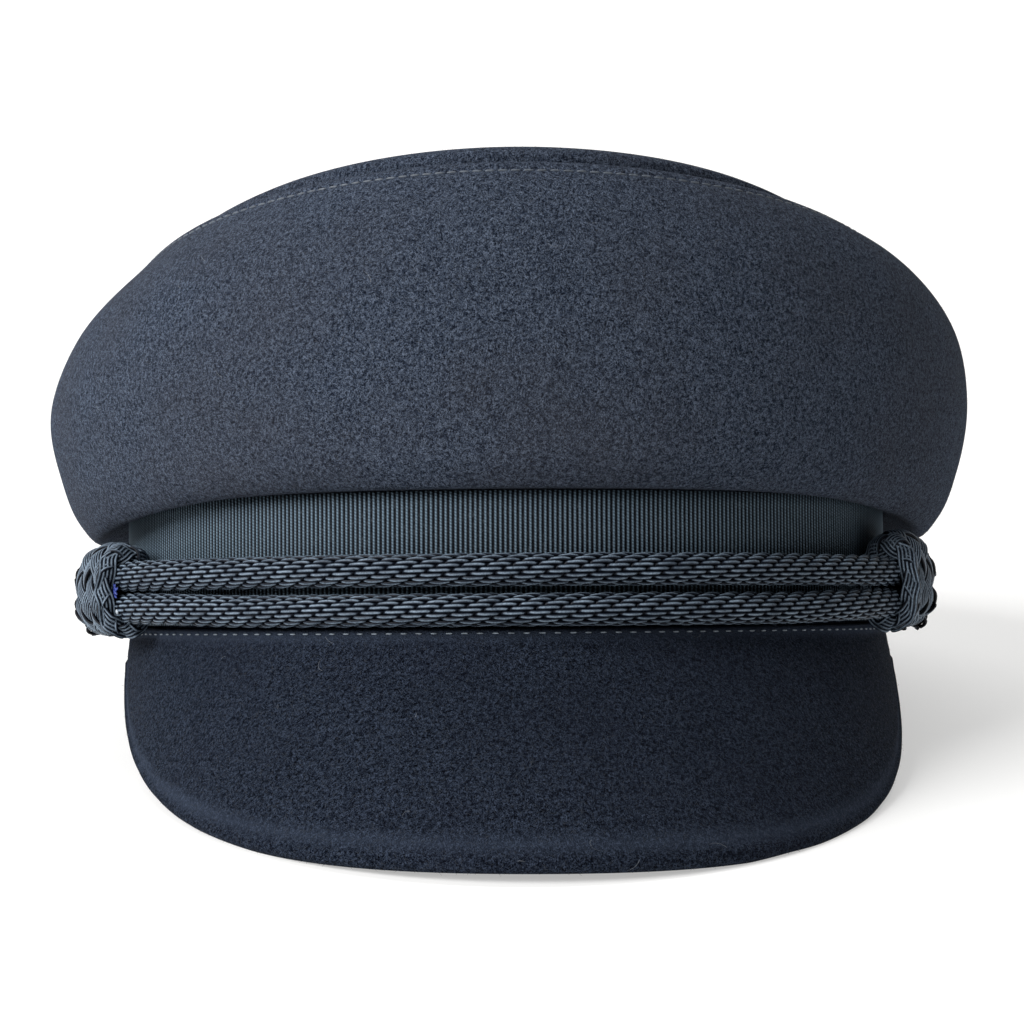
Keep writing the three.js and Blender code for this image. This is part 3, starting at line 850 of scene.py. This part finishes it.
def on_knot(knot, turn, share, raised):
    """A point on the knot: round it by an angle, from its inner mouth at -1 to its outer at 1, and raised."""
    place = np.array(knot["side"] * math.radians(knot["angle"]))
    along, out, up = band_axes(place)
    even, *columns = knot_profile(knot)
    bulge, lengthwise, faces_out, faces_along = (np.interp(share, even, column) for column in columns)
    taper = 1 - KNOT_TAPER * lengthwise / (knot["length"] / 2)
    c, s = np.cos(turn), np.sin(turn)
    square = 0.94 * (c**4 + s**4) ** 0.1 + 0.06
    mouth_depth, mouth_height = CORD_DIAMETER / 2 + MOUTH_MARGIN, CORD_DIAMETER + GAP / 2 + MOUTH_MARGIN
    full_depth = (knot["depth"] / 2 - KNOT_INSET) * taper
    full_height = (knot["height"] / 2 - KNOT_INSET) * taper
    over = raised * faces_out
    depth = (mouth_depth + (full_depth - mouth_depth) * bulge + over) / square
    height = (mouth_height + (full_height - mouth_height) * bulge + over) / square
    # The mouths lie round the cords, and the middle round its own level.
    mouth_level = CORD_LEVEL + CORD_RISE
    level = mouth_level + (knot["level"] - mouth_level) * bulge
    centre = on_band(place, RIBBON_OUT + GAP + knot["depth"] / 2, 0.0)
    return (centre + out * (depth * c)[..., None] + up * (height * s + level)[..., None]
            + along * (knot["side"] * (lengthwise + raised * faces_along))[..., None])


def knot_yarns(knot):
    turn = 2 * math.pi * LEADS * np.arange(KNOT_STEPS) / KNOT_STEPS
    phase = BIGHTS * turn / LEADS
    share = KNOT_WAVE * np.cos(phase)
    weave = np.sin((LEADS - 1) * phase)
    lift = KNOT_LIFT * np.sign(weave) * np.abs(weave) ** 0.7
    centre = on_knot(knot, turn, share, lift)
    along = tangents(centre)
    outward = square_to(along, on_knot(knot, turn, share, lift + 1) - centre)
    across = np.cross(along, outward)
    offsets = (np.arange(KNOT_YARNS) - (KNOT_YARNS - 1) / 2) * 2 * KNOT_YARN_RADIUS
    # The strand is a little crowned, so its outer yarns lie deeper.
    return [(centre + across * offset - outward * 0.05 * offset**2, outward, np.full(KNOT_STEPS, 1.0))
            for offset in offsets]


def barrel(knot):
    """The ring under the weave, painted dark as shade. Its middle closes round the rope, so no light comes through
    the knot.
    """
    rounds = [(share, -0.72) for share in np.linspace(-0.96, 0.99, 13)]
    rounds += [(0.4, -1.6), (0.25, -5.5), (-0.25, -5.5), (-0.4, -1.6), rounds[0]]
    table = np.array(rounds)

    def shape(u, v):
        i = np.rint(v * (len(table) - 1)).astype(int)
        return on_knot(knot, 2 * math.pi * u * knot["side"], *table[i].T)

    # Its colour is the yarn's painted shade, between the deep and the middle tone.
    return bend_grid(knot["name"] + "_core", len(table) - 1, 48, shape, (60, 24), lambda u, v: 0 * u + 0.45)


for knot in KNOTS:
    weave = tubes(knot["name"] + "_weave", *zip(*knot_yarns(knot)), KNOT_YARN_RADIUS, 6, 420)
    finish_piece(weave, ROPE_YARN, "cord", knot["name"])
    finish_piece(barrel(knot), ROPE_YARN, "cord")


# %% [markdown]
# ## Stitches and fibres
# A stitch is a short fat thread that dips into the cloth at both ends. One is made from a sphere and copied along
# each seam. The nap of felt is a haze of single fibres, so thousands of tiny tapering slips are set on the cloth,
# each lying nearly flat in a direction of its own. They catch the light and soften every edge.

# %% One stitch, copied
def new_piece(name, points, faces):
    mesh = bpy.data.meshes.new(name)
    mesh.from_pydata(points.reshape(-1, 3).tolist(), [], faces)
    piece = bpy.data.objects.new(name, mesh)
    scene.collection.objects.link(piece)
    return piece


def stitch_row(name, starts, ends, normals, width, rise, material, slot):
    """A stitch from each start to its end, lying on a surface with the normals given. Millimetres."""
    deselect()
    bpy.ops.mesh.primitive_uv_sphere_add(segments=8, ring_count=7, radius=1)
    model = bpy.context.object
    ball = vertex_places(model.data)
    faces = [list(face.vertices) for face in model.data.polygons]
    bpy.data.objects.remove(model)
    middle = (starts + ends) / 2
    along = (ends - starts) / 2
    half = np.linalg.norm(along, axis=1)
    along /= half[:, None]
    across = unit(np.cross(normals, along))
    normals = np.cross(along, across)
    stretched = np.sign(ball[:, 2]) * np.abs(ball[:, 2]) ** 0.8
    points = (middle[:, None] + along[:, None] * (half[:, None] * stretched[None])[..., None]
              + across[:, None] * (width / 2 * ball[:, 0])[None, :, None]
              + normals[:, None] * (rise * ball[:, 1])[None, :, None])
    piece = new_piece(name, on_table(points.reshape(-1, 3)),
                      [[k + len(ball) * i for k in face] for i in range(len(middle)) for face in faces])
    face_outwards(piece)
    bpy.ops.object.shade_smooth()
    return finish_piece(piece, material, slot)


def thread_look(name, colour, roughness=0.5):
    material, tree, shader = new_material(name)
    place = tree.nodes.new("ShaderNodeTexCoord").outputs["Object"]
    uneven = noise(tree, place, 1800, 2.0)
    dark = tuple(0.45 * c for c in colour)
    shade = mix_colour(tree, ramp(tree, uneven, 0.3, 0.7), dark, colour)
    tree.links.new(shade, shader.inputs["Base Color"])
    shader.inputs["Roughness"].default_value = roughness
    return material


TOP_THREAD = thread_look("seam_thread", (0.1, 0.12, 0.15))
PALE_THREAD = thread_look("peak_thread", (0.26, 0.31, 0.37))
BLUE_THREAD = thread_look("tack_thread", (0.05, 0.08, 0.36), 0.4)
LINT_THREAD = thread_look("pale_thread", (0.5, 0.56, 0.62), 0.5)


def normals_of(shape, u, v):
    """The outward normal of a bent sheet at each place."""
    step = 1e-4
    du = shape(u + step, v) - shape(u - step, v)
    dv = shape(u, v + step) - shape(u, v - step)
    return unit(np.cross(du, dv))


# %% Topstitch along the crown's seam
PROUD = 0.1  # from the cloth to a stitch's middle
numbers = np.arange(STITCHES_ROUND)
jitter = np.random.default_rng(11).normal(0, 0.0008, STITCHES_ROUND)
first, last = (numbers + 0.1) / STITCHES_ROUND, (numbers + 0.86) / STITCHES_ROUND
line = np.full(STITCHES_ROUND, STITCH_LINE) + jitter
seam_normals = normals_of(wall_shape, (first + last) / 2, line)
stitch_row("crown_topstitch", wall_shape(first, line) + seam_normals * PROUD,
           wall_shape(last, line) + seam_normals * PROUD, seam_normals, 0.5, 0.28, TOP_THREAD, "wool")

# %% Topstitch along the peak's root
ROOT_STITCHES = 73
spots = np.linspace(-0.93, 0.93, ROOT_STITCHES + 1) * PEAK_HALF_SPAN
pitch = spots[1] - spots[0]
rooted = spots[:-1]
down = np.full(ROOT_STITCHES, ROOT_STRIP - 0.75)
above_felt = np.full(ROOT_STITCHES, -0.24)
starts = on_peak(rooted + pitch * 0.28, down, above_felt)
ends = on_peak(rooted + pitch * 0.72, down, above_felt)
root_normals = on_peak(rooted, down, down * 0 - 1) - on_peak(rooted, down, down * 0)
stitch_row("peak_topstitch", starts, ends, root_normals, 0.36, 0.15, PALE_THREAD, "wool")

# %% The tack in the left knot's mouth
def by_left_knot(degrees, out, levels):
    return on_band(np.radians(np.array(degrees)), RIBBON_OUT + np.array(out), np.array(levels))


tack_starts = by_left_knot([-60.5, -59.6, -59.1, -60.2, -59.8, -60.6], [10.5, 10.7, 10.5, 10.8, 10.7, 10.4],
                           [10.8, 10.6, 9.9, 9.5, 9.0, 8.6])
tack_ends = by_left_knot([-59.5, -60.4, -60.3, -59.2, -60.7, -59.4], [10.7, 10.5, 10.7, 10.6, 10.5, 10.6],
                         [9.5, 9.1, 8.8, 8.4, 8.0, 7.8])
tack_normals = np.tile(band_axes(np.radians(-50.0))[1], (6, 1))
stitch_row("knot_left_tack", tack_starts, tack_ends, tack_normals, 0.5, 0.25, BLUE_THREAD, "cord")
stitch_row("knot_left_dot", by_left_knot([-59.6], [10.5], [5.4]), by_left_knot([-59.2], [10.5], [4.5]),
           tack_normals[:1], 0.8, 0.3, LINT_THREAD, "cord")


# %% Fibres
def fuzz(name, sources, count, reach, width, lift, bend, segments, seed, material, slot):
    """Curved, tapering slips on the outside of finished pieces. Sizes in millimetres."""
    random = np.random.default_rng(seed)
    corners = []
    for source in sources:
        mesh = source.data
        mesh.calc_loop_triangles()
        index = np.empty(len(mesh.loop_triangles) * 3, int)
        mesh.loop_triangles.foreach_get("vertices", index)
        corners.append(vertex_places(mesh)[index].reshape(-1, 3, 3))
    corners = np.concatenate(corners)
    normal = np.cross(corners[:, 1] - corners[:, 0], corners[:, 2] - corners[:, 0])
    area = np.linalg.norm(normal, axis=1)
    normal /= np.maximum(area, 1e-15)[:, None]
    # Few fibres are needed inside the cap.
    outside = np.sum(normal * (corners.mean(axis=1) - CAP_MIDDLE), axis=1) > 0
    weight = area * np.where(outside, 1.0, 0.15)
    picked = random.choice(len(area), count, p=weight / weight.sum())
    a, b = random.random((2, count, 1))
    flip = a + b > 1
    a, b = np.where(flip, 1 - a, a), np.where(flip, 1 - b, b)
    triangle, normal = corners[picked], normal[picked]
    root = triangle[:, 0] + a * (triangle[:, 1] - triangle[:, 0]) + b * (triangle[:, 2] - triangle[:, 0])
    tangent = unit(np.cross(normal, random.normal(size=(count, 3))))
    side = np.cross(normal, tangent)
    length = reach * MM * random.uniform(0.4, 1.0, (count, 1)) ** 1.5
    up = lift * random.uniform(0.3, 1.0, (count, 1))
    curl = random.normal(0, bend, (count, 1))
    rows = []
    for k in range(segments + 1):
        t = k / segments
        heading = tangent * np.cos(curl * t) + side * np.sin(curl * t)
        middle = root + (heading * t + normal * up * (1.7 * t - t * t)) * length - normal * 0.05 * MM
        across = side * np.cos(curl * t) - tangent * np.sin(curl * t)
        half = width * MM / 2 * (1 - 0.6 * t)
        rows += [middle - across * half, middle + across * half] if k < segments else [middle]
    points = np.stack(rows, axis=1)
    points[..., 2] = np.maximum(points[..., 2], TABLE_GAP * MM)
    each = points.shape[1]
    slips = []
    for i in range(0, count * each, each):
        slips += [[i + 2 * k, i + 2 * k + 1, i + 2 * k + 3, i + 2 * k + 2] for k in range(segments - 1)]
        slips.append([i + each - 3, i + each - 2, i + each - 1])
    return finish_piece(new_piece(name, points, slips), material, slot)


CAP_MIDDLE = on_table(np.array([0, 0, 45.0]))
CROWN_FIBRE = thread_look("crown_fibre", (0.06, 0.07, 0.09), 0.8)
PEAK_FIBRE = thread_look("peak_fibre", (0.022, 0.029, 0.043), 0.8)
LINT = thread_look("lint", (0.2, 0.22, 0.25), 0.6)
fuzz("crown_nap", [crown_wall, crown_top], 17500, reach=1.4, width=0.07, lift=0.45, bend=0.9, segments=3,
     seed=21, material=CROWN_FIBRE, slot="wool")
fuzz("peak_nap", [peak], 11000, reach=1.3, width=0.07, lift=0.4, bend=0.9, segments=3,
     seed=22, material=PEAK_FIBRE, slot="wool")
fuzz("lint", [crown_wall, peak], 110, reach=4.2, width=0.08, lift=0.12, bend=1.2, segments=7,
     seed=23, material=LINT, slot="wool")

# %% [markdown]
# ## Cloth that was woven flat
# The ribbon was woven flat, while the felt is moulded.

# %% [markdown]
# ## The studio
# The photo was taken from a little above the table, straight on, in soft light that comes mostly from the upper
# left. A wide pale floor that bends up into a wall behind shows no edge in the picture.

# %% Camera
FOCAL = 2620 / 1024  # picture widths
CAMERA_DISTANCE, CAMERA_HEIGHT, CAMERA_SIDE = 600.0, 4.0, 1.6  # in the level cap's millimetres
CAMERA_YAW, CAMERA_PITCH = math.radians(-2.37), math.radians(2.2147)
across = np.array([math.cos(CAMERA_YAW), math.sin(CAMERA_YAW), 0])
eye = np.array([CAMERA_DISTANCE * math.sin(CAMERA_YAW), -CAMERA_DISTANCE * math.cos(CAMERA_YAW), CAMERA_HEIGHT])
eye = eye + across * CAMERA_SIDE
look = np.array([-math.sin(CAMERA_YAW) * math.cos(CAMERA_PITCH), math.cos(CAMERA_YAW) * math.cos(CAMERA_PITCH),
                 math.sin(CAMERA_PITCH)])
camera = bpy.data.objects.new("camera", bpy.data.cameras.new("camera"))
scene.collection.objects.link(camera)
camera.location = Vector(on_table(eye))
direction = Vector(LEAN_TURN @ look)
camera.rotation_euler = direction.to_track_quat("-Z", "Y").to_euler()
camera.data.lens = FOCAL * camera.data.sensor_width
camera.data.clip_start = 0.01
scene.camera = camera
print("camera at", camera.location[:])

# %% Floor
def floor_shape(u, v):
    """Flat to 1.6 m behind the cap, then a quarter circle of 0.8 m radius, then a wall."""
    bend, radius = 1600, 800
    run = v * 7000 - 2600
    turn = np.clip((run - bend) / radius, 0, math.pi / 2)
    y = np.minimum(run, bend) + radius * np.sin(turn)
    z = radius * (1 - np.cos(turn)) + np.maximum(run - bend - radius * math.pi / 2, 0)
    return np.stack([(0.5 - u) * 9000, y, z], axis=1)


deselect()
bpy.ops.mesh.primitive_grid_add(x_subdivisions=2, y_subdivisions=160, size=1)
floor = bpy.context.object
floor.name = "floor"
for vertex in floor.data.vertices:
    x, y = vertex.co.x + 0.5, vertex.co.y + 0.5
    vertex.co = Vector(floor_shape(np.array([1 - x]), np.array([y]))[0] * MM)
bpy.ops.object.shade_smooth()
paper, _, shader = new_material("paper")
shader.inputs["Base Color"].default_value = (0.58, 0.578, 0.572, 1)
shader.inputs["Emission Color"].default_value = (1, 0.995, 0.985, 1)
shader.inputs["Emission Strength"].default_value = 0.43
shader.inputs["Roughness"].default_value = 0.9
shader.inputs["Specular IOR Level"].default_value = 0.1
floor.data.materials.append(paper)


# %% Lights and world
def softbox(name, place, size, power, aim=(0, 0, 0.06)):
    light = bpy.data.objects.new(name, bpy.data.lights.new(name, "AREA"))
    scene.collection.objects.link(light)
    light.data.shape = "RECTANGLE"
    light.data.size, light.data.size_y = size
    light.data.energy = power
    light.location = place
    light.rotation_euler = (Vector(aim) - Vector(place)).to_track_quat("-Z", "Y").to_euler()


softbox("key_upper_left", (-1.95, -1.25, 1.5), (2.1, 1.6), 118)
softbox("wall_wash", (0, 0.7, 2.4), (2.6, 0.6), 44, (0, 2.3, 0.6))
world = bpy.data.worlds.new("studio")
world.use_nodes = True
world.node_tree.nodes["Background"].inputs["Color"].default_value = (0.97, 0.985, 1, 1)
world.node_tree.nodes["Background"].inputs["Strength"].default_value = 0.15
scene.world = world
scene.view_settings.view_transform = "Standard"
